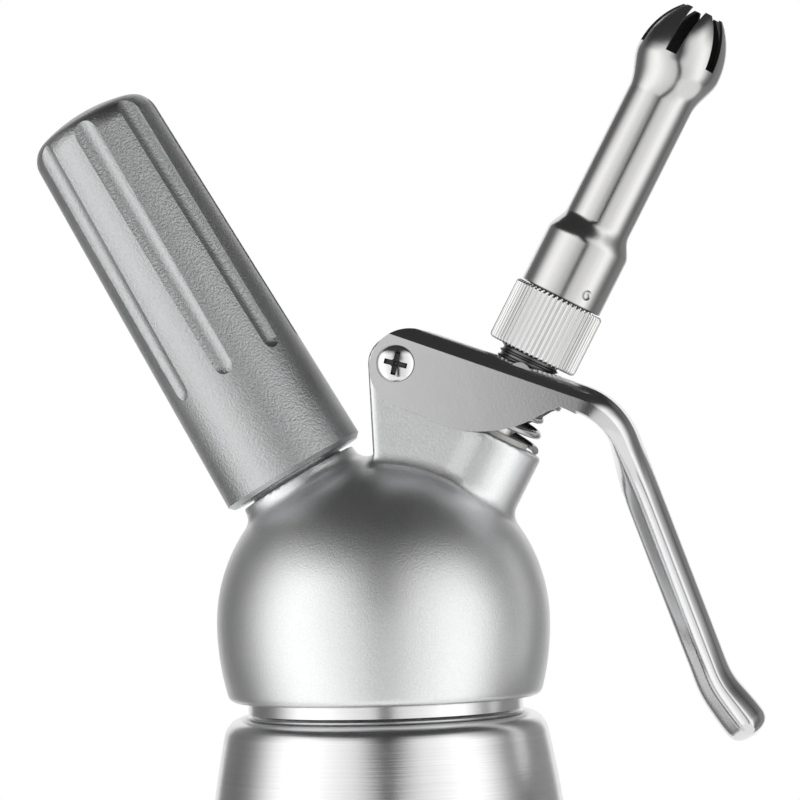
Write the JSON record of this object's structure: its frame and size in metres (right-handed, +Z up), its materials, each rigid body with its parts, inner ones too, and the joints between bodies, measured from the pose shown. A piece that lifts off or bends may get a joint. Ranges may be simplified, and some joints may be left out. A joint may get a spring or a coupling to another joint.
{
  "type": "whipped cream dispenser",
  "caption": "Aluminium cream whipper: bottle, screwed dome head, leaning fluted charger holder, squeeze lever over a sprung valve and a slotted tulip nozzle.",
  "frame": {"origin": "centre of the bottle's flat base", "axes": "+Z up along the bottle, +X to the side of the lever and nozzle, -Y to the side that shows the pivot screw's head"},
  "size_m": [0.147, 0.077, 0.2851],
  "materials": {
    "bottle_aluminium": "spun and brushed round the axis",
    "head_aluminium": "cast, bead blasted and satin",
    "holder_aluminium": "cast, bead blasted, darker satin",
    "lever_steel": "cast and satin polished",
    "bright_steel": "turned and polished",
    "nozzle_steel": "drawn tube, lightly brushed",
    "spring_steel": "drawn wire",
    "valve_steel": "turned",
    "black_rubber": "moulded",
    "grey_silicone": "moulded silicone",
    "red_silicone": "moulded silicone",
    "white_plastic": "turned bearing plastic",
    "black_plastic": "moulded",
    "charger_steel": "drawn steel cartridge",
    "cap_metal": "thin pierced cap"
  },
  "bodies": {
    "bottle": {"bottle": "bottle_aluminium"},
    "head_seal": {"head_gasket": "grey_silicone"},
    "head": {"head": "head_aluminium", "pivot_screw": "bright_steel", "pivot_barrel": "bright_steel", "pivot_washers": "white_plastic", "piercing_pin": "bright_steel", "pin_gasket": "red_silicone", "non_return_sleeve": "black_rubber", "valve_guide": "white_plastic", "guide_oring": "black_rubber", "valve_spring": "spring_steel"},
    "lever": {"lever": "lever_steel"},
    "valve": {"valve_stem": "valve_steel", "valve_seal": "black_rubber", "seal_nut": "valve_steel", "valve_head": "valve_steel", "nozzle_adapter": "bright_steel", "adapter_washer": "black_rubber"},
    "nozzle_seal": {"nozzle_oring": "black_rubber"},
    "nozzle": {"nozzle": "nozzle_steel", "nozzle_ferrule": "black_plastic"},
    "charger": {"gas_charger": "charger_steel", "charger_seal": "cap_metal"},
    "holder": {"charger_holder": "holder_aluminium"}
  },
  "joints": [
    {"name": "head_lift", "type": "slide", "parent": "bottle", "child": "head_seal", "axis": [0, 0, 1], "range_m": [0, 0.007]},
    {"name": "head_turn", "type": "hinge", "parent": "head_seal", "child": "head", "pos_m": [0, 0, 0.1595], "axis": [0, 0, 1], "range_deg": [0, 641]},
    {"name": "lever_squeeze", "type": "hinge", "parent": "head", "child": "lever", "pos_m": [0.00515, 0, 0.21263], "axis": [0, 1, 0], "range_deg": [0, 8], "stiffness_Nm_per_rad": 2, "springref_deg": -11.46},
    {"name": "valve_travel", "type": "slide", "parent": "head", "child": "valve", "axis": [-0.4741, 0, -0.8805], "range_m": [0, 0.0034], "deforming": ["valve_spring"]},
    {"name": "nozzle_lift", "type": "slide", "parent": "valve", "child": "nozzle_seal", "axis": [0.4741, 0, 0.8805], "range_m": [0, 0.0075]},
    {"name": "nozzle_turn", "type": "hinge", "parent": "nozzle_seal", "child": "nozzle", "pos_m": [0.05041, 0, 0.24755], "axis": [0.4741, 0, 0.8805], "range_deg": [0, 1822]},
    {"name": "holder_lift", "type": "slide", "parent": "head", "child": "charger", "axis": [-0.4879, 0, 0.8729], "range_m": [0, 0.01]},
    {"name": "holder_turn", "type": "hinge", "parent": "charger", "child": "holder", "pos_m": [-0.03903, 0, 0.22933], "axis": [-0.4879, 0, 0.8729], "range_deg": [0, 1822]}
  ],
  "couplings": [
    {"joint": "head_turn", "follows": "head_lift", "rad_per_m": 1570.8},
    {"joint": "valve_travel", "follows": "lever_squeeze", "m_per_rad": 0.0239},
    {"joint": "nozzle_turn", "follows": "nozzle_lift", "rad_per_m": 4188.8},
    {"joint": "holder_turn", "follows": "holder_lift", "rad_per_m": 3141.6}
  ]
}
